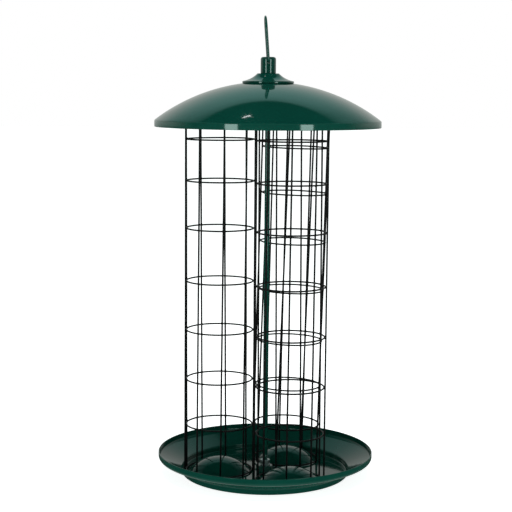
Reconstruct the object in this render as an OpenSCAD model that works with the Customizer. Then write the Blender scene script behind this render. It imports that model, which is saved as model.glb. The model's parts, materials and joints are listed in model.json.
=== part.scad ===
// Hanging suet-ball feeder: three wire mesh tubes stand in a dished tray on a centre rod,
// under a domed roof that a cross-drilled top nut holds down. Millimetres, +Z up.
// The origin is on the rod's axis, in the plane that the tray stands on.

/* [Mesh tubes] */
// Diameter of the circle that the three tube axes stand on
tube_pcd = 103.2; // [102:0.1:126]
// Height of a tube from its foot to its top
tube_h = 410.1; // [330:0.1:500]
// Diameter of a tube, measured over its upright wires
tube_od = 79.6; // [66:0.1:80]
// Number of upright wires in a tube
uprights = 9; // [7:1:11]
// Diameter of an upright wire
upright_d = 2; // [1.6:0.1:2.4]
// Diameter of a ring wire
ring_d = 1.8; // [1.4:0.1:2.2]
// Angle between the two uprights where the rolled mesh meets
seam_angle = 28; // [20:1:36]
// Angle by which the rolled mesh is skewed, from a tube's foot to its top
mesh_skew = 4.5; // [-8:0.5:8]
// Direction in which the left tube's seam faces at mid-height
left_seam = 177; // [0:1:360]
// Direction in which the front tube's seam faces at mid-height
front_seam = 167; // [0:1:360]
// Direction in which the rear tube's seam faces at mid-height
rear_seam = 114; // [0:1:360]
// Angle by which the rear tube leans
rear_lean = 1.4; // [0:0.1:1.5]
// Direction in which the rear tube leans
rear_lean_dir = 5; // [0:1:120]
// Height of the second ring above the foot of an upright-standing tube
low_ring_h = 54.1; // [40:0.1:60]
// Height of the second ring above the foot of the tube that stands upside down
flipped_low_ring_h = 42.6; // [36:0.1:60]

/* [Tray] */
// Outer diameter of the tray's rim
tray_d = 241.6; // [230:0.2:290]
// Overall height of the tray
tray_h = 24.8; // [18:0.1:34]
// Height of the tray's vertical lip
tray_lip_h = 7; // [4:0.1:10]
// Gap between the tubes and the inside of the step that the tray stands on
foot_gap = 1.6; // [1:0.1:6]
// Height of that step
foot_h = 6.5; // [3:0.1:7]
// Thickness of the tray's sheet
tray_sheet = 1.2; // [0.8:0.1:1.6]
// Gap between a tube's foot ring and the pressed dome that it stands round
seat_gap = 1.2; // [1.1:0.1:6]
// Height of that dome above the floor
seat_h = 15.3; // [8:0.1:20]

/* [Roof] */
// Outer diameter of the roof
roof_d = 250; // [215:0.5:300]
// Rise of the roof's dome above its skirt
roof_rise = 42.5; // [36:0.5:60]
// Height of the roof's vertical skirt
skirt_h = 7; // [5:0.1:14]
// Thickness of the roof's sheet
roof_sheet = 1; // [0.8:0.1:1.4]
// Free height between the roof and the top of the tube that reaches furthest out
tube_play = 2.2; // [2.2:0.1:6]

/* [Collar and top nut] */
// Diameter of the collar's foot
collar_d = 57; // [44:0.5:70]
// Diameter of the collar's top
collar_top_d = 25.2; // [20:0.1:30]
// Thickness of the collar's edge
collar_edge = 2.5; // [1.5:0.1:4]
// Height of the collar above the crown of the roof
collar_h = 8.9; // [6:0.1:16]
// Diameter of the top nut
nut_d = 17; // [14:0.1:19]
// Height of the top nut
nut_h = 18; // [16:0.1:26]
// Radius of the top nut's rounded upper edge
nut_round = 3; // [1:0.1:4]
// Height of the cross hole above the foot of the top nut
cross_hole_h = 12.2; // [12:0.1:17]

/* [Hanging loop] */
// Diameter of the loop's wire
loop_wire_d = 2.5; // [2:0.1:3]
// Length of straight wire on each side of the nut, before the wire bends up
loop_side_gap = 0.5; // [0.3:0.1:6]
// Height from the cross hole to the middle of the wire at the top
loop_h = 49.4; // [40:0.1:80]
// Radius of the loop's lower bends
loop_bend_r = 4; // [3.5:0.1:5]
// Angle by which the loop leans over at rest
loop_lean = -4.2; // [-20:0.1:20]

/* [Rod and fasteners] */
// Diameter of the centre rod
rod_d = 6; // [5:0.1:6.4]
// Width of a nut across its flats
hex_flats = 10; // [9:0.1:10.5]
// Height of a full nut
hex_h = 5; // [4:0.1:6]
// Height of the thin nut under the tray
thin_hex_h = 3.2; // [2.5:0.1:4]
// Outer diameter of a washer
washer_d = 12; // [11:0.1:14]
// Thickness of a washer
washer_t = 1.6; // [1:0.1:2]

/* [Hidden] */
$fn = 96;

enamel = [0.03, 0.24, 0.18];
coated_wire = [0.09, 0.09, 0.09];
zinc = [0.72, 0.73, 0.74];

// Directions in which the tubes stand, as seen from the rod
left_angle = 180;
front_angle = -60;
rear_angle = 60;

// The tubes stand loose on their seats: how far each stands off the middle of its own
left_offset = [-0.8, 0];
front_offset = [-1, 0];
rear_offset = [0, 0];

// Clearances and overlaps
weld_bite = 0.2;      // depth to which a ring is welded into an upright
rod_clear = 0.4;      // radial clearance of the rod in the tray, roof, collar and washers
thread_clear = 0.05;  // radial clearance of a thread's crests
pivot_clear = 0.1;    // radial clearance of the loop's wire in the cross hole
ground_clear = 0.4;   // height of the rod's lower end above the ground
thread_proud = 0.4;   // length of rod that shows past the nut under the tray
bore_end_clear = 0.4; // depth of the top nut's bore past the end of the rod
cross_wall = 0.9;     // wall between the top nut's bore and its cross hole
boss_side_clear = 0.7; // gap between the foot of the tray's centre boss and a tube
boss_top_margin = 2;  // flat round a washer on the centre boss
end_inset = 0.3;      // length of upright that shows past an end ring
seat_clear = 0.05;    // gap between the stop washer's edge and the roof
edge = 2;             // spare length by which a cutting tool runs past a face

// Mesh tubes: radii from a tube's own axis
tube_r = tube_od / 2;
upright_r = tube_r - upright_d / 2;
ring_r = tube_r - upright_d + weld_bite - ring_d / 2;
tube_ring_r = tube_pcd / 2;
upright_pitch = (360 - seam_angle) / (uprights - 1);
// Steps from the second ring up to the last but one, on a tube that stands the right way up
ring_steps = [52.2, 55.8, 55.4, 59.1, 52.7, 45.9];
ring_steps_sum = total(ring_steps, len(ring_steps));
// The steps belong to a tube of this height, and scale with any other
ring_steps_tube_h = 410.1;
ring_scale = tube_h / ring_steps_tube_h;
// An upright stays straight, so a skewed mesh tilts it; its ends stay level with the tube's
skew_tilt = atan(2 * upright_r * tan(mesh_skew / 2) / tube_h);
upright_l = (tube_h - upright_d * abs(sin(skew_tilt))) / cos(skew_tilt);

// Tray: heights above the ground
floor_top = tray_sheet;
tray_r = tray_d / 2;
reach = tube_ring_r + tube_r;
foot_r = reach + foot_gap + tray_sheet;
boss_under = ground_clear + thread_proud + thin_hex_h + washer_t;
boss_top = boss_under + tray_sheet;
boss_foot_r = tube_ring_r - tube_r - boss_side_clear;
boss_head_r = washer_d / 2 + boss_top_margin;
seat_r = ring_r - ring_d / 2 - seat_gap;
seat_sphere_r = (seat_r * seat_r + seat_h * seat_h) / (2 * seat_h);
seat_centre_z = floor_top + seat_h - seat_sphere_r;

// Roof: the dome is part of a sphere that stands on the skirt
roof_r = roof_d / 2;
dome_r = (roof_r * roof_r + roof_rise * roof_rise) / (2 * roof_rise);
rear_top_x = tube_ring_r * cos(rear_angle) + tube_h * sin(rear_lean) * cos(rear_lean_dir);
rear_top_y = tube_ring_r * sin(rear_angle) + tube_h * sin(rear_lean) * sin(rear_lean_dir);
top_reach = max(reach, norm([rear_top_x, rear_top_y]) + tube_r);
tube_top = floor_top + tube_h;
dome_z = tube_top + tube_play - sqrt(pow(dome_r - roof_sheet, 2) - top_reach * top_reach);
skirt_top = dome_z + dome_r - roof_rise;
skirt_foot = skirt_top - skirt_h;
crown = dome_z + dome_r;
stop_top = dome_z + sqrt(pow(dome_r - roof_sheet, 2) - pow(washer_d / 2, 2)) - seat_clear;

// Collar, top nut, loop and rod
collar_foot_z = dome_z + sqrt(dome_r * dome_r - collar_d * collar_d / 4);
collar_top = crown + collar_h;
hole_z = collar_top + cross_hole_h;
hole_r = loop_wire_d / 2 + pivot_clear;
bore_top = hole_z - hole_r - cross_wall;
rod_foot = ground_clear;
rod_top = bore_top - bore_end_clear;
hex_r = hex_flats / 2 / cos(30);

// Sum of the first n entries of a list
function total(list, n) = n <= 0 ? 0 : list[n - 1] + total(list, n - 1);

// Point at t, from 0 to 1, on the curve from a to c that b pulls towards itself
function curve_point(a, b, c, t) = a * pow(1 - t, 2) + b * 2 * t * (1 - t) + c * t * t;

// Height of ring i above a tube's foot; the flipped tube takes the steps in reverse
function ring_h(i, flipped) = flipped
    ? flipped_low_ring_h + ring_scale * (ring_steps_sum - total(ring_steps, len(ring_steps) - i))
    : low_ring_h + ring_scale * total(ring_steps, i);

// Place a tube's parts on the tray, at an angle round the rod; only the rear tube leans,
// and stands on the edge of its foot
module at_tube(angle) {
    lean = angle == rear_angle ? rear_lean : 0;
    offset = angle == left_angle ? left_offset : angle == front_angle ? front_offset : rear_offset;
    translate([offset[0], offset[1], floor_top + tube_r * sin(lean)])
        translate([tube_ring_r * cos(angle), tube_ring_r * sin(angle), 0])
            rotate(rear_lean_dir) rotate([0, lean, 0]) rotate(-rear_lean_dir) children();
}

// Part of a torus round the Z axis
module wire_ring(r, d, sweep = 360) {
    rotate_extrude(angle = sweep) translate([r, 0]) circle(d = d, $fn = 24);
}

// Upright wires of one tube; the widest step between them faces the seam
module tube_uprights(angle, seam) {
    color(coated_wire) at_tube(angle)
        for (i = [0 : uprights - 1])
            rotate(seam + seam_angle / 2 + i * upright_pitch)
                translate([upright_r, 0, tube_h / 2]) rotate([-skew_tilt, 0, 0])
                    cylinder(h = upright_l, d = upright_d, center = true, $fn = 24);
}

// Rings that ring the tube's side
module tube_rings(angle, flipped) {
    color(coated_wire) at_tube(angle)
        for (i = [0 : len(ring_steps)])
            translate([0, 0, ring_h(i, flipped)]) wire_ring(ring_r, ring_d);
}

// Rings that close the tube's foot and top
module tube_end_rings(angle) {
    color(coated_wire) at_tube(angle)
        for (z = [end_inset + ring_d / 2, tube_h - end_inset - ring_d / 2])
            translate([0, 0, z]) wire_ring(ring_r, ring_d);
}

// Hexagon nut whose corners are turned off at both ends
module hex_nut(z, h) {
    flat_r = hex_flats / 2;
    corner = (hex_r - flat_r) * tan(30);
    color(zinc) translate([0, 0, z]) difference() {
        intersection() {
            cylinder(h = h, r = hex_r, $fn = 6);
            rotate_extrude() polygon([
                [0, 0], [flat_r, 0], [hex_r, corner], [hex_r, h - corner], [flat_r, h], [0, h],
            ]);
        }
        translate([0, 0, -edge]) cylinder(h = h + 2 * edge, d = rod_d + 2 * thread_clear);
    }
}

module washer(z) {
    color(zinc) translate([0, 0, z]) difference() {
        cylinder(h = washer_t, d = washer_d);
        translate([0, 0, -edge]) cylinder(h = washer_t + 2 * edge, d = rod_d + 2 * rod_clear);
    }
}

module base_nut() hex_nut(boss_under - washer_t - thin_hex_h, thin_hex_h);
module base_washer() washer(boss_under - washer_t);
module tray_washer() washer(boss_top);
module tray_nut() hex_nut(boss_top + washer_t, hex_h);
module stop_washer() washer(stop_top - washer_t);
module stop_nut() hex_nut(stop_top - washer_t - hex_h, hex_h);

// Pressed tray: foot step, sloping wall, lip, centre boss and three domed seats
module tray() {
    s = tray_sheet;
    wall_foot = foot_h;
    lip_foot = tray_h - tray_lip_h;
    color(enamel) difference() {
        union() {
            rotate_extrude() polygon([
                [rod_d / 2 + rod_clear, boss_under], [boss_head_r, boss_under],
                [boss_foot_r - s, 0], [foot_r, 0], [foot_r, wall_foot],
                [tray_r, lip_foot], [tray_r, tray_h], [tray_r - s, tray_h],
                [tray_r - s, lip_foot + s / 2], [foot_r - s, wall_foot + s / 2],
                [foot_r - s, s], [boss_foot_r, s], [boss_head_r + s / 2, boss_top],
                [rod_d / 2 + rod_clear, boss_top],
            ]);
            each_seat() intersection() {
                translate([0, 0, seat_centre_z]) sphere(r = seat_sphere_r);
                cylinder(h = floor_top + seat_h + edge, r = seat_r + edge);
            }
        }
        each_seat() intersection() {
            translate([0, 0, seat_centre_z]) sphere(r = seat_sphere_r - tray_sheet);
            translate([0, 0, -edge]) cylinder(h = floor_top + seat_h + 2 * edge, r = seat_r);
        }
    }
}

// Repeat a shape at the foot of each tube
module each_seat() {
    for (angle = [left_angle, front_angle, rear_angle])
        translate([tube_ring_r * cos(angle), tube_ring_r * sin(angle), 0]) children();
}

module centre_rod() {
    color(enamel) translate([0, 0, rod_foot]) cylinder(h = rod_top - rod_foot, d = rod_d);
}

// Domed roof: a shell of one sphere, cut off by its vertical skirt
module roof() {
    color(enamel) difference() {
        union() {
            intersection() {
                translate([0, 0, dome_z]) sphere(r = dome_r);
                translate([0, 0, skirt_top]) cylinder(h = roof_rise + edge, r = roof_r + edge);
            }
            translate([0, 0, skirt_foot]) cylinder(h = skirt_h, r = roof_r);
        }
        intersection() {
            translate([0, 0, dome_z]) sphere(r = dome_r - roof_sheet);
            translate([0, 0, skirt_top - edge])
                cylinder(h = roof_rise + 2 * edge, r = roof_r - roof_sheet);
        }
        translate([0, 0, skirt_foot - edge]) cylinder(h = skirt_h + edge, r = roof_r - roof_sheet);
        translate([0, 0, crown - 3 * edge]) cylinder(h = 4 * edge, r = rod_d / 2 + rod_clear);
    }
}

// Bell-shaped collar that sits on the crown and spreads the top nut's load
module roof_collar() {
    flare_steps = 8;
    foot = [collar_d / 2, collar_foot_z + collar_edge];
    head = [collar_top_d / 2, collar_top - 0.6];
    pull = [collar_d / 2 * 0.64, collar_foot_z + collar_edge + 2.1];
    color(enamel) difference() {
        rotate_extrude() polygon(concat(
            [[rod_d / 2 + rod_clear, collar_foot_z - edge], [collar_d / 2, collar_foot_z - edge]],
            [for (i = [0 : flare_steps]) curve_point(foot, pull, head, i / flare_steps)],
            [[collar_top_d / 2 - 0.6, collar_top], [rod_d / 2 + rod_clear, collar_top]]
        ));
        translate([0, 0, dome_z]) sphere(r = dome_r, $fn = 360);
    }
}

// Top nut: a blind threaded bore from below and a cross hole for the loop
module top_nut() {
    color(enamel) translate([0, 0, collar_top]) difference() {
        union() {
            cylinder(h = nut_h - nut_round, d = nut_d);
            translate([0, 0, nut_h - nut_round]) wire_ring(nut_d / 2 - nut_round, 2 * nut_round);
            cylinder(h = nut_h, r = nut_d / 2 - nut_round);
        }
        translate([0, 0, -edge])
            cylinder(h = bore_top - collar_top + edge, d = rod_d + 2 * thread_clear);
        translate([0, -nut_d, cross_hole_h]) rotate([-90, 0, 0]) cylinder(h = 2 * nut_d, r = hole_r);
    }
}

// Closed wire loop through the cross hole, which is its pivot
module hanging_loop() {
    low = nut_d / 2 + loop_side_gap;
    half = low + loop_bend_r;
    high = loop_h - half;
    color(enamel) translate([0, 0, hole_z]) rotate([0, loop_lean, 0]) {
        translate([0, -low, 0]) rotate([-90, 0, 0]) cylinder(h = 2 * low, d = loop_wire_d, $fn = 24);
        for (side = [-1, 1]) {
            translate([0, side * half, loop_bend_r])
                cylinder(h = high - loop_bend_r, d = loop_wire_d, $fn = 24);
            translate([0, side * low, loop_bend_r]) rotate([90, 0, 90])
                rotate(side > 0 ? -90 : 180) wire_ring(loop_bend_r, loop_wire_d, 90);
        }
        translate([0, 0, high]) rotate([90, 0, 90]) wire_ring(half, loop_wire_d, 180);
    }
}

module left_tube_uprights() tube_uprights(left_angle, left_seam);
module left_tube_rings() tube_rings(left_angle, false);
module left_tube_end_rings() tube_end_rings(left_angle);
module front_tube_uprights() tube_uprights(front_angle, front_seam);
module front_tube_rings() tube_rings(front_angle, false);
module front_tube_end_rings() tube_end_rings(front_angle);
module rear_tube_uprights() tube_uprights(rear_angle, rear_seam);
module rear_tube_rings() tube_rings(rear_angle, true);
module rear_tube_end_rings() tube_end_rings(rear_angle);

tray();
centre_rod();
base_nut();
base_washer();
tray_washer();
tray_nut();
stop_nut();
stop_washer();
roof();
roof_collar();
top_nut();
hanging_loop();
left_tube_uprights();
left_tube_rings();
left_tube_end_rings();
front_tube_uprights();
front_tube_rings();
front_tube_end_rings();
rear_tube_uprights();
rear_tube_rings();
rear_tube_end_rings();
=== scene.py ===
import json
from math import asin, atan2, ceil, cos, hypot, pi, radians, sin, sqrt, tan

import bmesh
import bpy
import numpy as np
from mathutils import Matrix, Vector


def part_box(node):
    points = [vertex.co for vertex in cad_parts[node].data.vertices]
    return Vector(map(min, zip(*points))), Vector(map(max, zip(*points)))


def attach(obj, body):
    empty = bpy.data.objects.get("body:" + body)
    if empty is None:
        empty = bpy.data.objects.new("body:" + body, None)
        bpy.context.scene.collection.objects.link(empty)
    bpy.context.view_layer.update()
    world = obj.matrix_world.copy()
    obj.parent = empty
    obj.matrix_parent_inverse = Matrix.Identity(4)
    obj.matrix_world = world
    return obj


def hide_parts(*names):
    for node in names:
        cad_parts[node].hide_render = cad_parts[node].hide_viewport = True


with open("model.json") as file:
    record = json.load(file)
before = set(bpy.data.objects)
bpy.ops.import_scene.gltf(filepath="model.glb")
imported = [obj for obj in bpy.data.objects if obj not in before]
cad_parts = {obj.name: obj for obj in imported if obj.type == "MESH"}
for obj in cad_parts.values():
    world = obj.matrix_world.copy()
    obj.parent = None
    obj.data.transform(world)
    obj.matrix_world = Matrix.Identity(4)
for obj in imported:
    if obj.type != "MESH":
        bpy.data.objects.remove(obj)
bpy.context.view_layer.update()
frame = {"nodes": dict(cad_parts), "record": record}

TUBES = ("left", "front", "rear")
TURN = 2 * pi
SAME = 2e-5       # two CAD heights or radii this close are one
MERGED = 2e-6     # mesh points this close become one
LEG_SHARE = 0.49  # the most of a side that the fillet at one of its ends may take

# Colours of the finishes
GREEN_DEEP, GREEN_CLEAR = (0.0012, 0.038, 0.0265, 1), (0.0020, 0.046, 0.0325, 1)
GREEN_DUST = (0.05, 0.09, 0.075, 1)
BLACK_THICK, BLACK_THIN = (0.0034, 0.0030, 0.0031, 1), (0.0075, 0.0065, 0.0063, 1)
ZINC_COOL, ZINC_WARM = (0.50, 0.52, 0.54, 1), (0.66, 0.66, 0.64, 1)
FLOOR_DARK, FLOOR_LIGHT = (0.90, 0.90, 0.90, 1), (0.93, 0.93, 0.93, 1)
# painted light on the floor: an emitted glow, dimmer near the feeder (painted shade) and full
# white far off
GLOW_NEAR_PAINTED_SHADE, GLOW_FAR = (0.85, 0.835, 0.84, 1), (1, 1, 1, 1)

# Grain of the finishes: the scale of the noise, per metre, and its detail
CLOUD, SPECK, DUST, RIPPLE, SWELL = (14, 3), (900, 1), (260, 2), (420, 1), (75, 1)
THIN_PATCH, PIT = (160, 3), (2400, 2)
BLOOM, DRAWING_MARK = (300, 3), (2200, 2)
FLOOR_PATCH = (3, 2)


# ---------------------------------------------------------------- reading the CAD nodes

def cad_points(node):
    """Every vertex of a CAD node, one row each."""
    mesh = frame["nodes"][node].data
    points = np.empty(len(mesh.vertices) * 3)
    mesh.vertices.foreach_get("co", points)
    return points.reshape(-1, 3)


def cad_outline(node):
    """Distance from the rod's axis, and height, of every vertex of a CAD node."""
    points = cad_points(node)
    return np.hypot(points[:, 0], points[:, 1]), points[:, 2]


def middle(points):
    """Middle of the box round some points."""
    return (points.min(axis=0) + points.max(axis=0)) / 2


def clumps(points, reach):
    """Middles of the groups of points that lie within reach of one another."""
    found = []
    while len(points):
        near = np.linalg.norm(points - points[0], axis=1) < reach
        found.append(middle(points[near]))
        points = points[~near]
    return found


# ---------------------------------------------------------------- meshes

def mesh_piece(name, points, faces):
    """A mesh object at the origin, with doubles merged and faces pointing outwards."""
    mesh = bpy.data.meshes.new(name)
    mesh.from_pydata([tuple(p) for p in points], [], faces)
    piece = bpy.data.objects.new(name, mesh)
    bpy.context.collection.objects.link(piece)
    work = bmesh.new()
    work.from_mesh(mesh)
    bmesh.ops.remove_doubles(work, verts=work.verts, dist=MERGED)
    bmesh.ops.recalc_face_normals(work, faces=work.faces)
    work.to_mesh(mesh)
    work.free()
    mesh.shade_smooth()
    return piece


def skin(name, rows):
    """Surface over a grid of points that closes both ways. rows is an array (rows, columns, 3)."""
    high, wide = rows.shape[:2]
    here = np.arange(high * wide).reshape(high, wide)
    up, across = np.roll(here, -1, axis=0), np.roll(here, -1, axis=1)
    both = np.roll(up, -1, axis=1)
    faces = np.stack([here, across, both, up], axis=-1).reshape(-1, 4)
    return mesh_piece(name, rows.reshape(-1, 3), faces.tolist())


def turned(outline, steps):
    """Grid of points made by turning a closed outline of (radius, height) round the Z axis."""
    angles = np.arange(steps) * TURN / steps
    radius, height = np.array(outline).T
    return np.stack([
        np.outer(np.cos(angles), radius),
        np.outer(np.sin(angles), radius),
        np.tile(height, (steps, 1)),
    ], axis=-1)


def rounded(corners, arc=radians(12)):
    """Closed outline whose corners (radius, height, fillet) are rounded, in steps of about arc."""
    outline = []
    for i, (x, z, fillet) in enumerate(corners):
        here = Vector((x, z))
        back = Vector(corners[i - 1][:2]) - here
        ahead = Vector(corners[(i + 1) % len(corners)][:2]) - here
        turn = pi - back.angle(ahead)
        if fillet <= 0 or turn < arc / 2:
            outline.append((x, z))
            continue
        cut = min(fillet * tan(turn / 2), back.length * LEG_SHARE, ahead.length * LEG_SHARE)
        fillet = cut / tan(turn / 2)
        into = (back.normalized() + ahead.normalized()).normalized()
        centre = here + into * (fillet / cos(turn / 2))
        start, end = here + back.normalized() * cut, here + ahead.normalized() * cut
        first = atan2(start.y - centre.y, start.x - centre.x)
        swing = atan2(end.y - centre.y, end.x - centre.x) - first
        swing = (swing + pi) % TURN - pi
        count = max(2, ceil(turn / arc))
        for step in range(count + 1):
            angle = first + swing * step / count
            outline.append((centre.x + fillet * cos(angle), centre.y + fillet * sin(angle)))
    return outline


def divided(outline, longest):
    """The same closed outline with no step longer than longest."""
    fine = []
    for (x0, z0), (x1, z1) in zip(outline, outline[1:] + outline[:1]):
        count = max(1, ceil(hypot(x1 - x0, z1 - z0) / longest))
        fine += [(x0 + (x1 - x0) * i / count, z0 + (z1 - z0) * i / count) for i in range(count)]
    return fine


def finished(piece, material, body, slot, *nodes):
    """Give a piece its finish and body, and let it stand for its CAD nodes."""
    piece.data.materials.clear()
    piece.data.materials.append(material)
    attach(piece, body)
    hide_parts(*nodes)


def baked(piece):
    """Apply a piece's modifiers, as a plain mesh under the same name."""
    graph = bpy.context.evaluated_depsgraph_get()
    mesh = bpy.data.meshes.new_from_object(piece.evaluated_get(graph), depsgraph=graph)
    piece.modifiers.clear()
    old, piece.data = piece.data, mesh
    if old.users == 0:
        bpy.data.meshes.remove(old)


def smooth_but_sharp(piece, angle):
    """Shade a piece smooth, except at edges that turn by more than angle."""
    piece.data.shade_smooth()
    piece.data.set_sharp_from_angle(angle=angle)


# ---------------------------------------------------------------- nodes

class Port:
    """A node's output, on which + - * / and between add nodes."""

    def __init__(self, web, socket):
        self.web, self.socket = web, socket

    def __add__(self, other): return self.web.math("ADD", self, other)
    def __radd__(self, other): return self.web.math("ADD", other, self)
    def __sub__(self, other): return self.web.math("SUBTRACT", self, other)
    def __rsub__(self, other): return self.web.math("SUBTRACT", other, self)
    def __mul__(self, other): return self.web.math("MULTIPLY", self, other)
    def __rmul__(self, other): return self.web.math("MULTIPLY", other, self)
    def __truediv__(self, other): return self.web.math("DIVIDE", self, other)

    def between(self, low, high):
        """Smooth step from 0 at low to 1 at high."""
        return self.web.node("ShaderNodeMapRange", {"interpolation_type": "SMOOTHSTEP"},
                             {"Value": self, "From Min": low, "From Max": high})

    def out(self, name):
        """Another output of the same node."""
        return Port(self.web, self.socket.node.outputs[name])


class Web:
    """The nodes of one shader or geometry tree."""

    def __init__(self, tree):
        self.tree = tree

    def node(self, kind, settings=None, values=None, output=0):
        """Add a node, fill its settings and inputs, and give back one of its outputs."""
        made = self.tree.nodes.new(kind)
        for key, setting in (settings or {}).items():
            setattr(made, key, setting)
        for key, value in (values or {}).items():
            if isinstance(value, Port):
                self.tree.links.new(value.socket, made.inputs[key])
            else:
                made.inputs[key].default_value = value
        return Port(self, made.outputs[output]) if made.outputs else made

    def math(self, operation, *values):
        return self.node("ShaderNodeMath", {"operation": operation}, dict(enumerate(values)))

    def vector_math(self, operation, *values, output=0):
        return self.node("ShaderNodeVectorMath", {"operation": operation},
                         dict(enumerate(values)), output)

    def noise(self, where, scale, detail):
        return self.node("ShaderNodeTexNoise", {}, {
            "Vector": where, "Scale": scale, "Detail": detail})

    def mix(self, factor, a, b):
        return self.node("ShaderNodeMix", {"data_type": "RGBA"}, {0: factor, 6: a, 7: b}, 2)

    def bump(self, height, distance):
        return self.node("ShaderNodeBump", {}, {
            "Height": height, "Distance": distance, "Strength": 1.0})


# ---------------------------------------------------------------- finishes

def new_material(name):
    """An empty material, with its tree and its object coordinates."""
    material = bpy.data.materials.new(name)
    material.use_nodes = True
    material.node_tree.nodes.clear()
    web = Web(material.node_tree)
    return material, web, web.node("ShaderNodeTexCoord").out("Object")


def surface(web, **values):
    """The material's one Principled surface; names use _ for a space."""
    inputs = {name.replace("_", " "): value for name, value in values.items()}
    shader = web.node("ShaderNodeBsdfPrincipled", {}, inputs)
    web.node("ShaderNodeOutputMaterial", {}, {"Surface": shader})


def enamel(name, peel=0.000012, worn=0.0, ior=1.5, coat=0.2):
    """Dark green baked enamel: deep colour, clear gloss, a little dust and an orange peel whose
    waves are peel high."""
    cloud_share, speck_share, dust_least, swell_height = 0.7, 0.3, 0.05, 2.5
    clean_rough, cloud_rough, dust_rough, coat_rough = 0.05, 0.05, 1.5, 0.02
    material, web, where = new_material(name)
    cloud = web.noise(where, *CLOUD)
    speck = web.noise(where, *SPECK)
    depth = (cloud * cloud_share + speck * speck_share).between(0.3, 0.7)
    dust = web.noise(where, *DUST).between(0.66, 0.8) * (dust_least + worn)
    colour = web.mix(dust, web.mix(depth, GREEN_DEEP, GREEN_CLEAR), GREEN_DUST)
    waves = web.noise(where, *RIPPLE) + web.noise(where, *SWELL) * swell_height
    surface(web, Base_Color=colour,
            Roughness=clean_rough + cloud * cloud_rough + dust * dust_rough,
            IOR=ior, Coat_Weight=coat, Coat_Roughness=coat_rough,
            Normal=web.bump(waves, peel))
    return material


def powder_coat(name):
    """Satin black powder coat on wire: fine pits, and a little brown where it lies thin."""
    thick_rough, thin_rough, pit_depth = 0.36, 0.14, 0.00002
    material, web, where = new_material(name)
    thin = web.noise(where, *THIN_PATCH).between(0.45, 0.75)
    pits = web.noise(where, *PIT)
    surface(web, Base_Color=web.mix(thin, BLACK_THICK, BLACK_THIN),
            Roughness=thick_rough + thin * thin_rough, Specular_IOR_Level=0.15, IOR=1.45,
            Normal=web.bump(pits, pit_depth))
    return material


def zinc_plate(name):
    """Bright zinc plate: cool grey metal with soft blooms and fine drawing marks."""
    clear_rough, bloom_rough, mark_depth = 0.26, 0.22, 0.00001
    material, web, where = new_material(name)
    bloom = web.noise(where, *BLOOM)
    marks = web.noise(where, *DRAWING_MARK)
    surface(web, Base_Color=web.mix(bloom.between(0.35, 0.7), ZINC_COOL, ZINC_WARM),
            Metallic=1.0, Roughness=clear_rough + bloom * bloom_rough,
            Normal=web.bump(marks, mark_depth))
    return material


roof_enamel = enamel("roof_enamel")
tray_enamel = enamel("tray_enamel", worn=0.03, ior=1.34, coat=0.0)
rod_enamel = enamel("rod_enamel", peel=0.00002)
fitting_enamel = enamel("fitting_enamel", peel=0.00002)
coated_wire = powder_coat("coated_wire")
zinc = zinc_plate("zinc_plate")


# ---------------------------------------------------------------- roof

def sphere_centre(r0, z0, r1, z1):
    """Height of the centre of the sphere through two circles round the Z axis."""
    return ((r0 * r0 + z0 * z0) - (r1 * r1 + z1 * z1)) / (2 * (z0 - z1))


def dome_arc(rho, centre, r0, r1, count):
    """Corners on a sphere's outline from radius r0 to r1, evenly spaced in angle."""
    angles = np.linspace(asin(r0 / rho), asin(r1 / rho), count)
    return [(rho * sin(a), centre + rho * cos(a), 0) for a in angles]


def make_roof():
    """Pressed dome with a soft shoulder, a straight skirt and eased edges. The sphere that the
    dome is part of comes back with it."""
    shoulder = 0.0022       # fillet between dome and skirt
    shoulder_room = 0.004   # the dome's arc stops this far short of the skirt
    arc_points, sides, longest = 44, 288, 0.004
    r, z = cad_outline("roof")
    rim, hole = r.max(), r.min()
    skirt_foot, crown = z.min(), z.max()
    skirt_top = z[r > rim - SAME].max()
    sheet = rim - r[z < skirt_foot + SAME].min()
    eased = sheet * 0.4
    centre = sphere_centre(rim, skirt_top, hole, crown)
    rho = hypot(rim, skirt_top - centre)
    inner, inner_rim = rho - sheet, rim - sheet
    inner_top = centre + sqrt(inner * inner - inner_rim * inner_rim)
    corners = dome_arc(rho, centre, hole, rim - shoulder_room, arc_points)
    corners += [
        (rim, skirt_top, shoulder), (rim, skirt_foot, eased),
        (inner_rim, skirt_foot, eased), (inner_rim, inner_top, shoulder - sheet),
    ]
    corners += dome_arc(inner, centre, inner_rim - shoulder_room, hole, arc_points)
    outline = divided(rounded(corners, radians(8)), longest)
    return skin("roof_dome", turned(outline, sides)), rho, centre


roof_dome, roof_rho, roof_centre = make_roof()
finished(roof_dome, roof_enamel, "canopy", "roof_enamel", "roof")


def make_collar():
    """Bell-shaped collar: a thick rounded edge, then a flare up to a small flat. It sits on the
    roof's sphere."""
    flare_points, under_points, sides, longest = 20, 12, 144, 0.0015
    r, z = cad_outline("roof_collar")
    foot_r, hole = r.max(), r.min()
    foot, top = z.min(), z.max()
    edge_top = z[r > foot_r - SAME].max()
    top_r = r[z > top - SAME].max()
    below_flat = z[(r > top_r + SAME) & (r < top_r + 0.002)].max()
    # the flare is a quadratic curve from start to head, drawn towards pull
    start = Vector((foot_r - 0.0006, edge_top + 0.00005))
    pull = Vector((foot_r * 0.64, edge_top + 0.0021))
    head = Vector((top_r + (top - below_flat), top - 0.0006))
    flare = []
    for i in range(1, flare_points):
        t = i / flare_points
        p = start * (1 - t) ** 2 + pull * (2 * t * (1 - t)) + head * t ** 2
        flare.append((p.x, p.y, 0))
    under = dome_arc(roof_rho, roof_centre, foot_r, hole, under_points)
    corners = [(foot_r, foot, 0.0008), (foot_r, edge_top, 0.0011)] + flare
    corners += [(head.x, top - 0.0007, 0.0006), (top_r, top, 0.0003), (hole, top, 0.0003)]
    corners += under[:0:-1]
    return skin("roof_collar_bell", turned(divided(rounded(corners), longest), sides))


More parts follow.
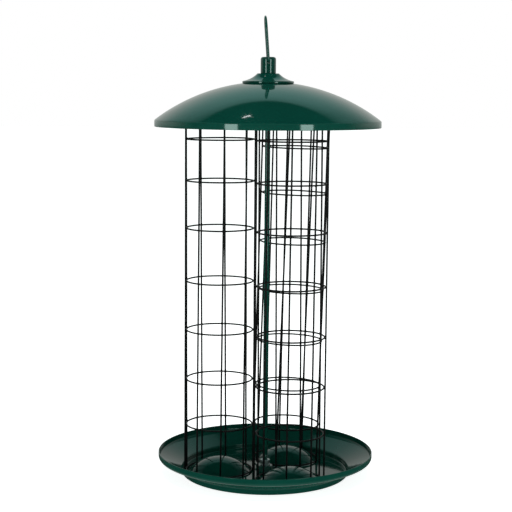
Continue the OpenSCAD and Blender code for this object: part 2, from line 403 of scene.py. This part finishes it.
finished(make_collar(), roof_enamel, "canopy", "roof_enamel", "roof_collar")


# ---------------------------------------------------------------- top nut and loop

swing = next(j for j in frame["record"]["behaviour"]["joints"] if j["name"] == "loop_swing")
hole_at = Vector(swing["pos_m"])


def make_top_nut():
    """Turned nut with a rounded top, a blind bore, and a cross hole with eased mouths."""
    bore_end = 0.00225                 # the bore stops this far below the cross hole's axis
    hole_radius = 0.00135
    mouth_depth, mouth_slope = 0.0008, 0.7
    sides, longest = 72, 0.0012
    hole_sides, hole_rows = 24, 8      # rows on each side of the nut's middle
    r, z = cad_outline("top_nut")
    radius, foot, top = r.max(), z.min(), z.max()
    shoulder = z[r > radius - SAME].max()
    bore = r[z < foot + SAME].min()
    bore_top = hole_at.z - bore_end
    corners = [
        (bore, foot, 0.0003), (radius, foot, 0.0005), (radius, top, top - shoulder),
        (0, top, 0), (0, bore_top, 0), (bore, bore_top, 0.0002),
    ]
    outline = divided(rounded(corners, radians(9)), longest)
    nut = skin("top_nut_turned", turned(outline, sides))
    rows = []
    for i in range(-hole_rows, hole_rows + 1):
        y = i * radius / (hole_rows - 0.5)
        # the mouths widen where the hole comes out of the nut's round side
        width = hole_radius + max(0.0, abs(y) - radius + mouth_depth) * mouth_slope
        rows.append([(width * cos(a), y, hole_at.z + width * sin(a))
                     for a in np.arange(hole_sides) * TURN / hole_sides])
    caps = [[(0, row[0][1], hole_at.z)] * hole_sides for row in (rows[0], rows[-1])]
    cutter = skin("cross_hole", np.array([caps[0]] + rows + [caps[1]]))
    cut = nut.modifiers.new("cross_hole", "BOOLEAN")
    cut.operation, cut.solver, cut.object = "DIFFERENCE", "EXACT", cutter
    baked(nut)
    bpy.data.objects.remove(cutter)
    smooth_but_sharp(nut, radians(35))
    return nut


finished(make_top_nut(), fitting_enamel, "top_nut", "fitting_enamel", "top_nut")


def make_loop():
    """Closed wire loop: straight through the cross hole, two bends, two sides and a round top."""
    nut_clear = 0.0005  # from the nut's side to where the wire starts to bend
    straight_points, bend_points, side_points, top_points, wire_sides = 12, 10, 16, 36, 20
    low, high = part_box("hanging_loop")
    wire = hole_at.z - low[2]
    half = high[1] - wire
    rise, lean_x = high[2] - wire - hole_at.z, low[0] + wire
    lean, length = atan2(lean_x, rise), hypot(lean_x, rise)
    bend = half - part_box("top_nut")[1][0] - nut_clear
    side_top = length - half
    path = [(y, 0.0) for y in np.linspace(bend - half, half - bend, straight_points)]
    path += [(half - bend + bend * cos(a), bend + bend * sin(a))
             for a in np.linspace(-pi / 2, 0, bend_points)[1:]]
    path += [(half, h) for h in np.linspace(bend, side_top, side_points)[1:]]
    path += [(half * cos(a), side_top + half * sin(a))
             for a in np.linspace(0, pi, top_points)[1:]]
    path += [(-half, h) for h in np.linspace(side_top, bend, side_points)[1:]]
    path += [(bend - half + bend * cos(a), bend + bend * sin(a))
             for a in np.linspace(-pi, -pi / 2, bend_points)[1:-1]]
    place = Matrix.Translation(hole_at) @ Matrix.Rotation(lean, 4, "Y")
    across = Vector((1, 0, 0))
    rows = []
    for i, (y, h) in enumerate(path):
        (y0, h0), (y1, h1) = path[i - 1], path[(i + 1) % len(path)]
        side = Vector((0, y1 - y0, h1 - h0)).normalized().cross(across)
        rows.append([
            tuple(place @ (Vector((0, y, h)) + (across * cos(a) + side * sin(a)) * wire))
            for a in np.arange(wire_sides) * TURN / wire_sides
        ])
    return skin("hanging_loop_wire", np.array(rows))


finished(make_loop(), fitting_enamel, "loop", "fitting_enamel", "hanging_loop")


# ---------------------------------------------------------------- tray

def make_tray():
    """Pressed dish: centre boss, three domed seats, foot step, sloping wall and upright lip."""
    sides, longest = 384, 0.00145
    blend = 0.0014  # each seat runs into the floor over a fillet about this high
    r, z = cad_outline("tray")
    points = cad_points("tray")
    rim, top = r.max(), z.max()
    sheet = rim - r[z > top - SAME].min()
    eased = sheet * 0.45
    lip_foot = z[r > rim - SAME].min()
    foot_r = r[z < SAME].max()
    wall_foot = z[abs(r - foot_r) < SAME].max()
    hole = r.min()
    boss_under, boss_top = z[r < hole + SAME].min(), z[r < hole + SAME].max()
    boss_head = r[abs(z - boss_top) < SAME]
    boss_head = boss_head[boss_head < rim / 3].max()
    floor = points[abs(z - sheet) < SAME]
    boss_foot = np.hypot(floor[:, 0], floor[:, 1]).min()

    # each seat fills the round gap in the flat floor at a tube's foot; the zones are how far
    # above the lip, and round that foot, its parts are looked for
    foot_zone, crown_zone, gap_zone = 0.05, 0.030, 0.0385
    seats = []
    for side in TUBES:
        end_rings = cad_points(f"{side}_tube_end_rings")
        foot = middle(end_rings[end_rings[:, 2] < top + foot_zone])[:2]
        near = points[np.hypot(*(points[:, :2] - foot).T) < crown_zone]
        around = floor[np.hypot(*(floor[:, :2] - foot).T) < gap_zone]
        seats.append(middle(around)[:2])
        seat_h = near[:, 2].max() - sheet
        seat_r = np.ptp(around[:, 0]) / 2
    seat_rho = (seat_r ** 2 + seat_h ** 2) / (2 * seat_h)
    seat_depth = seat_rho - seat_h  # from the floor's top down to the middle of a seat's sphere

    corners = [
        (hole, boss_top, 0.0002), (boss_head, boss_top, 0.0012), (boss_foot, sheet, 0.0009),
        (foot_r - sheet, sheet, 0.0016), (foot_r - sheet, wall_foot + sheet / 2, 0.002),
        (rim - sheet, lip_foot + sheet / 2, 0.0026), (rim - sheet, top, eased),
        (rim, top, eased), (rim, lip_foot, 0.0034),
        (foot_r, wall_foot, 0.0016), (foot_r, 0, 0.0010),
        (boss_foot - sheet, 0, 0.0014), (boss_head - sheet / 2, boss_under, 0.0006),
        (hole, boss_under, 0.0002),
    ]
    rows = turned(divided(rounded(corners, radians(15)), longest), sides)
    for seat in seats:
        away = np.hypot(rows[..., 0] - seat[0], rows[..., 1] - seat[1])
        lift = np.sqrt(np.maximum(seat_rho ** 2 - np.minimum(away, seat_r) ** 2, 0)) - seat_depth
        lift -= np.maximum(away - seat_r, 0) * seat_r / seat_depth
        share = np.clip(0.5 + 0.5 * lift / blend, 0, 1)
        rows[..., 2] += np.maximum(lift * share + blend * share * (1 - share), 0)
    return skin("tray_dish", rows)


finished(make_tray(), tray_enamel, "root", "tray_enamel", "tray")


# ---------------------------------------------------------------- rod, nuts and washers

def make_rod():
    """Rod with a cut thread at each end; the crests are the CAD rod's full size."""
    pitch, thread_depth = 0.001, 0.00055
    past_tray_nut, below_stop_nut = 0.004, 0.006   # how far the threads run on
    end_height, end_cut = 0.0003, 0.0004           # the ends are eased by this much
    around, rows_a_pitch, plain_rows = 24, 8, 90
    low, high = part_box("centre_rod")
    crest = high[0]
    root = crest - thread_depth
    lower_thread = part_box("tray_nut")[1][2] + past_tray_nut
    upper_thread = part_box("stop_nut")[0][2] - below_stop_nut
    heights = [low[2], low[2] + end_height]
    heights += list(np.arange(low[2] + end_cut, lower_thread, pitch / rows_a_pitch))
    heights += list(np.linspace(lower_thread, upper_thread, plain_rows)[1:-1])
    heights += list(np.arange(upper_thread, high[2] - end_cut, pitch / rows_a_pitch))
    heights += [high[2] - end_height, high[2]]
    angles = np.arange(around) * TURN / around
    rows = []
    for h in heights:
        threaded = h < lower_thread or h > upper_thread
        phase = (h / pitch - angles / TURN) % 1
        depth = (1 - abs(2 * phase - 1)) * (crest - root) if threaded else np.zeros(around)
        ending = end_cut if h in (low[2], high[2]) else 0
        radius = crest - np.maximum(depth, ending)
        rows.append(np.stack([radius * np.cos(angles), radius * np.sin(angles),
                              np.full(around, h)], axis=-1))
    caps = [np.full((around, 3), (0, 0, h)) for h in (low[2], high[2])]
    return skin("tie_rod", np.array([caps[0]] + rows + [caps[1]]))


finished(make_rod(), rod_enamel, "root", "rod_enamel", "centre_rod")


def eased_copy(node, name, width):
    """A merged copy of a CAD node with its sharp edges eased."""
    flat_enough, sharp = radians(1), radians(40)
    piece = bpy.data.objects.new(name, frame["nodes"][node].data.copy())
    bpy.context.collection.objects.link(piece)
    work = bmesh.new()
    work.from_mesh(piece.data)
    bmesh.ops.remove_doubles(work, verts=work.verts, dist=MERGED)
    bmesh.ops.dissolve_limit(
        work, angle_limit=flat_enough, verts=work.verts, edges=work.edges)
    work.to_mesh(piece.data)
    work.free()
    ease = piece.modifiers.new("ease", "BEVEL")
    ease.width, ease.segments, ease.limit_method, ease.angle_limit = width, 2, "ANGLE", sharp
    baked(piece)
    smooth_but_sharp(piece, sharp)
    return piece


fastener_edge = 0.00018
for fastener in ("base_nut", "base_washer", "tray_washer", "tray_nut", "stop_nut", "stop_washer"):
    eased_piece = eased_copy(fastener, fastener + "_eased", fastener_edge)
    finished(eased_piece, zinc, "root", "zinc_plate", fastener)


# ---------------------------------------------------------------- mesh tubes

def socket_in(tree, name, kind):
    """Add an input to a node group, and give back its identifier."""
    return tree.interface.new_socket(name, in_out="INPUT", socket_type=kind).identifier


def mesh_tube_tree():
    """Geometry Nodes that weld a mesh tube. The points that come in are the middles of the rings,
    marked ring, and the two ends of each upright, the feet first and the tops after them."""
    tree = bpy.data.node_groups.new("welded_mesh_tube", "GeometryNodeTree")
    ids = {name: socket_in(tree, name, kind) for name, kind in (
        ("Geometry", "NodeSocketGeometry"),
        ("Uprights", "NodeSocketInt"),
        ("Upright radius", "NodeSocketFloat"),
        ("Ring radius", "NodeSocketFloat"),
        ("Ring wire radius", "NodeSocketFloat"),
        ("Ring axis", "NodeSocketVector"),
        ("Weld size", "NodeSocketFloat"),
        ("Unevenness", "NodeSocketFloat"),
        ("Seed", "NodeSocketInt"),
        ("Finish", "NodeSocketMaterial"),
    )}
    tree.interface.new_socket("Geometry", in_out="OUTPUT", socket_type="NodeSocketGeometry")
    web = Web(tree)
    given = web.node("NodeGroupInput")
    geometry, count = given, given.out("Uprights")
    axis, seed = given.out("Ring axis"), given.out("Seed")
    upright_radius = given.out("Upright radius")

    upright_points, upright_sides = 40, 12
    hoop_points, ring_sides = 96, 10
    upright_waves, ring_waves = 9.0, 16.0   # waves per metre
    seed_step, ring_shift = 7.3, 3.0        # what sets tubes, and rings and uprights, apart
    hold = 16            # the larger, the nearer to its ends an upright strays at full amount
    ring_strays = 1.6    # rings stray this many times as far as uprights
    weld_place = 0.95    # share of an upright's radius from its middle to its welds
    weld_least, weld_most = (0.8, 0.8, 0.8), (1.15, 1.15, 1.15)

    def position():
        return web.node("GeometryNodeInputPosition")

    def scaled(vector, factor):
        return web.node("ShaderNodeVectorMath", {"operation": "SCALE"}, {
            0: vector, "Scale": factor})

    def uneven(wires, amount, scale, shift):
        """Move the points of some wires a little, in slow waves."""
        noise = web.node("ShaderNodeTexNoise", {"noise_dimensions": "4D"}, {
            "Vector": position(), "W": seed * seed_step + shift, "Scale": scale,
            "Detail": 1.0}, 1)
        off = scaled(web.vector_math("SUBTRACT", noise, (0.5, 0.5, 0.5)), amount)
        return web.node("GeometryNodeSetPosition", {}, {"Geometry": wires, "Offset": off})

    def circle(points, radius):
        return web.node("GeometryNodeCurvePrimitiveCircle", {"mode": "RADIUS"}, {
            "Resolution": points, "Radius": radius})

    def drawn(wires, radius, sides):
        """Give wires their round section, with closed ends."""
        return web.node("GeometryNodeCurveToMesh", {}, {
            "Curve": wires, "Profile Curve": circle(sides, radius), "Fill Caps": True})

    # uprights
    uprights = web.node("GeometryNodeMeshToCurve", {}, {"Mesh": geometry})
    uprights = web.node("GeometryNodeResampleCurve", {}, {
        "Curve": uprights, "Count": upright_points})
    along = web.node("GeometryNodeSplineParameter")
    fade = web.math("MINIMUM", along * (1 - along) * hold, 1.0)
    uprights = uneven(uprights, given.out("Unevenness") * fade, upright_waves, 0.0)
    uprights = drawn(uprights, upright_radius, upright_sides)

    # rings
    marked = web.node("GeometryNodeInputNamedAttribute", {"data_type": "BOOLEAN"}, {
        "Name": "ring"})
    parts = web.node("GeometryNodeSeparateGeometry", {"domain": "POINT"}, {
        "Geometry": geometry, "Selection": marked})
    ring_points, end_points = parts, parts.out("Inverted")
    facing = web.node("FunctionNodeAlignRotationToVector", {"axis": "Z"}, {"Vector": axis})
    hoop = circle(hoop_points, given.out("Ring radius"))
    rings = web.node("GeometryNodeInstanceOnPoints", {}, {
        "Points": ring_points, "Instance": hoop, "Rotation": facing})
    rings = web.node("GeometryNodeRealizeInstances", {}, {"Geometry": rings})
    rings = uneven(rings, given.out("Unevenness") * ring_strays, ring_waves, ring_shift)
    rings = drawn(rings, given.out("Ring wire radius"), ring_sides)

    # welds: each ring's middle is copied for every upright and moved to where the two wires meet
    middle_of_ring = position()
    copies = web.node("GeometryNodeDuplicateElements", {"domain": "POINT"}, {
        "Geometry": ring_points, "Amount": count})
    which = copies.out("Duplicate Index")
    ends_at = position()

    def end_of(index):
        return web.node("GeometryNodeSampleIndex", {
            "data_type": "FLOAT_VECTOR", "domain": "POINT"}, {
            "Geometry": end_points, "Value": ends_at, "Index": index})

    foot, head = end_of(which), end_of(which + count)
    rise = web.vector_math("SUBTRACT", head, foot)
    to_ring = web.vector_math("SUBTRACT", middle_of_ring, foot)
    part = web.vector_math("DOT_PRODUCT", to_ring, axis, output=1)
    part = part / web.vector_math("DOT_PRODUCT", rise, axis, output=1)
    on_upright = web.vector_math("ADD", foot, scaled(rise, part))
    inward = web.vector_math(
        "NORMALIZE", web.vector_math("SUBTRACT", middle_of_ring, on_upright))
    met = web.vector_math("ADD", on_upright, scaled(inward, upright_radius * weld_place))
    copies = web.node("GeometryNodeStoreNamedAttribute", {
        "data_type": "FLOAT_VECTOR", "domain": "POINT"}, {
        "Geometry": copies, "Name": "inward", "Value": inward})
    welds = web.node("GeometryNodeSetPosition", {}, {"Geometry": copies, "Position": met})
    nugget = web.node("GeometryNodeMeshUVSphere", {}, {
        "Segments": 8, "Rings": 6, "Radius": given.out("Weld size")})
    grown = web.node("FunctionNodeRandomValue", {"data_type": "FLOAT_VECTOR"}, {
        0: weld_least, 1: weld_most, "Seed": seed})
    kept_inward = web.node("GeometryNodeInputNamedAttribute", {"data_type": "FLOAT_VECTOR"}, {
        "Name": "inward"})
    sideways = web.node("FunctionNodeAlignRotationToVector", {"axis": "X"}, {
        "Vector": kept_inward})
    welds = web.node("GeometryNodeInstanceOnPoints", {}, {
        "Points": welds, "Instance": nugget, "Rotation": sideways, "Scale": grown})

    joined = web.node("GeometryNodeJoinGeometry")
    for part_of_tube in (uprights, rings, welds):
        tree.links.new(part_of_tube.socket, joined.socket.node.inputs[0])
    real = web.node("GeometryNodeRealizeInstances", {}, {"Geometry": joined})
    smooth = web.node("GeometryNodeSetShadeSmooth", {}, {"Geometry": real, "Shade Smooth": True})
    coated = web.node("GeometryNodeSetMaterial", {}, {
        "Geometry": smooth, "Material": given.out("Finish")})
    web.node("NodeGroupOutput", {}, {0: coated})
    return tree, ids


def upright_ends(side):
    """Foot and top of each upright wire of a tube, the tube's lean and the wires' radius."""
    wire_end, wire_round = 0.004, 0.003  # reach round the middle of a wire's end
    points = cad_points(f"{side}_tube_uprights")
    halfway = (points[:, 2].min() + points[:, 2].max()) / 2
    feet = clumps(points[points[:, 2] < halfway], wire_end)
    tops = clumps(points[points[:, 2] > halfway], wire_end)
    drift = np.mean(tops, axis=0) - np.mean(feet, axis=0)
    pairs = [(f, min(tops, key=lambda t: np.linalg.norm(t - drift - f))) for f in feet]
    one = points[np.linalg.norm(points - feet[0], axis=1) < wire_round]
    return pairs, drift, np.ptp(one[:, 0]) / 2


def ring_middles(side):
    """Middles of a tube's rings, from foot to top, with their radius and their wire's."""
    ring_gap, sample = 0.005, 3
    points = np.concatenate([
        cad_points(f"{side}_tube_{kind}") for kind in ("rings", "end_rings")])
    points = points[points[:, 2].argsort()]
    breaks = np.where(np.diff(points[:, 2]) > ring_gap)[0] + 1
    groups = np.split(points, breaks)
    middles = [middle(group) for group in groups]
    away = np.linalg.norm((groups[sample] - middles[sample])[:, :2], axis=1)
    outer, inner = away.max(), away.min()
    return middles, (outer + inner) / 2, (outer - inner) / 2


def make_tube(side, seed):
    """One welded mesh tube, from the ends of its uprights and the middles of its rings."""
    pairs, drift, upright_radius = upright_ends(side)
    middles, radius, wire = ring_middles(side)
    feet, tops = [p[0] for p in pairs], [p[1] for p in pairs]
    name = f"{side}_tube_wires"
    mesh = bpy.data.meshes.new(name)
    count, rings = len(pairs), len(middles)
    mesh.from_pydata([tuple(p) for p in feet + tops + middles],
                     [(i, i + count) for i in range(count)], [])
    mark = mesh.attributes.new("ring", "BOOLEAN", "POINT")
    mark.data.foreach_set("value", [False] * (2 * count) + [True] * rings)
    tube = bpy.data.objects.new(name, mesh)
    bpy.context.collection.objects.link(tube)
    weave = tube.modifiers.new("welded mesh", "NODES")
    weave.node_group = tube_tree
    settings = {
        "Uprights": count, "Upright radius": upright_radius, "Ring radius": radius,
        "Ring wire radius": wire, "Ring axis": tuple(Vector(drift).normalized()),
        "Weld size": 0.00125, "Unevenness": 0.0006, "Seed": seed, "Finish": coated_wire,
    }
    for key, value in settings.items():
        weave[tube_inputs[key]] = value
    baked(tube)
    finished(tube, coated_wire, f"{side}_tube", "coated_wire",
             *(f"{side}_tube_{kind}" for kind in ("uprights", "rings", "end_rings")))


tube_tree, tube_inputs = mesh_tube_tree()
for number, tube_side in enumerate(TUBES):
    make_tube(tube_side, number + 1)


# ---------------------------------------------------------------- floor, light and camera

def make_floor():
    """Wide pale floor that the feeder stands on. Its emission is a painted glow: dimmer near the
    feeder, a painted shade round its foot, and full white away from the feeder.
    """
    half = 12
    glow_start, glow_full = 0.2, 1.0  # distances from the feeder's axis
    floor_rough, patch_rough = 0.75, 0.1
    corners = [(-half, -half, 0), (half, -half, 0), (half, half, 0), (-half, half, 0)]
    floor = mesh_piece("studio_floor", corners, [(0, 1, 2, 3)])
    material, web, where = new_material("pale_floor")
    soft = web.noise(where, *FLOOR_PATCH)
    # the glow is painted light, dimmer within glow_full of the feeder's axis, a painted shade
    # round its foot
    away = web.vector_math("LENGTH", where, output=1).between(glow_start, glow_full)
    surface(web, Base_Color=web.mix(soft, FLOOR_DARK, FLOOR_LIGHT),
            Roughness=floor_rough + soft * patch_rough,
            Emission_Color=web.mix(away, GLOW_NEAR_PAINTED_SHADE, GLOW_FAR), Emission_Strength=1.0)
    floor.data.materials.append(material)
    # the enamel mirrors the tent, not this floor
    floor.visible_glossy = False


def make_world():
    """Light tent: a pale backdrop, dim sides and front, and a dark opening above. The camera
    itself sees plain white."""
    front_wall, side_top = 0.05, 0.2
    back_low, back_high, back_middle, back_fade = 0.55, 0.27, 0.30, 0.15
    through_opening = 0.02
    table_edge, table_below = 0.07, 0.45
    red_low, red_drop, green, blue = 0.95, 0.42, 1.0, 0.96
    world = bpy.data.worlds.new("light_tent")
    bpy.context.scene.world = world
    world.use_nodes = True
    world.node_tree.nodes.clear()
    web = Web(world.node_tree)
    way = web.node("ShaderNodeTexCoord").out("Generated")
    split = web.node("ShaderNodeSeparateXYZ", {}, {0: way})
    back, up = split.out("Y"), split.out("Z")
    # 1 towards the backdrop and -1 towards the front, whatever the height
    round_to_back = back / web.math("SQRT", web.math("MAXIMUM", 1 - up * up, 0.0001))
    behind = round_to_back.between(-0.2, 0.5)
    high = up.between(0.3, 0.5)
    backdrop = (back_low * (1 - high)
                + (back_high + back_middle * round_to_back.between(0.80, 0.99)) * high)
    backdrop -= back_fade * up.between(0.70, 0.79)
    walls = front_wall + side_top * high * (1 - behind) + backdrop * behind
    opening = up.between(0.77, 0.80)
    down = 0 - up
    table = down.between(0.0, 0.1)
    under = table_edge + table_below * down.between(0.3, 0.6)
    tent = (walls * (1 - opening) + through_opening * opening) * (1 - table) + under * table
    tint = web.node("ShaderNodeCombineXYZ", {}, {
        0: red_low - red_drop * up.between(0.25, 0.75), 1: green, 2: blue})
    lit = web.node("ShaderNodeBackground", {}, {"Color": tint, "Strength": tent})
    plain = web.node("ShaderNodeBackground", {}, {"Color": (1, 1, 1, 1), "Strength": 1.0})
    seen = web.node("ShaderNodeLightPath").out("Is Camera Ray")
    shown = web.node("ShaderNodeMixShader", {}, {0: seen, 1: lit, 2: plain})
    web.node("ShaderNodeOutputWorld", {}, {"Surface": shown})


def soft_light(name, place, aim, size, watts, colour=(1.0, 1.0, 1.0), in_gloss=True):
    """Rectangular lamp that the camera doesn't see."""
    data = bpy.data.lights.new(name, "AREA")
    data.shape = "RECTANGLE"
    data.size, data.size_y = size
    data.energy = watts
    data.color = colour
    lamp = bpy.data.objects.new(name, data)
    bpy.context.collection.objects.link(lamp)
    lamp.location = place
    lamp.rotation_euler = (Vector(aim) - Vector(place)).to_track_quat("-Z", "Y").to_euler()
    lamp.visible_glossy = in_gloss
    lamp.visible_camera = False


def make_lights():
    """Two softboxes at the front, fill from above and from the front, and a small ceiling lamp."""
    box_away, box_height, box_size, box_watts = 1.45, 0.36, (0.31, 0.6), 3.6
    box_colour = (0.73, 1.0, 0.93)
    for name, turn_deg in (("left_softbox", -37.4), ("right_softbox", 34.5)):
        turn = radians(turn_deg)
        place = (box_away * sin(turn), -box_away * cos(turn), box_height)
        soft_light(name, place, (0, 0, box_height), box_size, box_watts, box_colour)
    soft_light("overhead_fill", (0, -0.1, 1.9), (0, 0, 0.2), (1.1, 1.1), 19, in_gloss=False)
    soft_light("front_fill", (-0.2, -2.3, 0.40), (0, 0, 0.30), (1.8, 0.4), 9, in_gloss=False)

    # the ceiling lamp shows only as a glint in the roof, at glint_at
    glint_at, glint_way = Vector((-0.027, -0.112, 0.402)), Vector((-0.12, 0.374, 0.92))
    lamp_away, lamp_size, lamp_watts = 1.2, (0.07, 0.02), 0.05
    lamp_at = glint_at + glint_way * lamp_away
    soft_light("ceiling_lamp", lamp_at, glint_at, lamp_size, lamp_watts)


def make_camera():
    """Long lens in front of the feeder, a little above its middle and looking slightly down."""
    turn, tilt, roll = radians(2.2145), radians(7.18), radians(0.43)
    camera = bpy.data.objects.new("camera", bpy.data.cameras.new("camera"))
    bpy.context.collection.objects.link(camera)
    camera.data.lens = 96.03
    camera.data.sensor_width = 36
    camera.location = (-0.0704, -1.5111, 0.4368)
    aim = Matrix.Rotation(-turn, 4, "Z") @ Matrix.Rotation(radians(90) - tilt, 4, "X")
    camera.rotation_euler = (aim @ Matrix.Rotation(roll, 4, "Z")).to_euler()
    bpy.context.scene.camera = camera


make_floor()
make_world()
make_lights()
make_camera()
bpy.context.scene.view_settings.view_transform = "Standard"
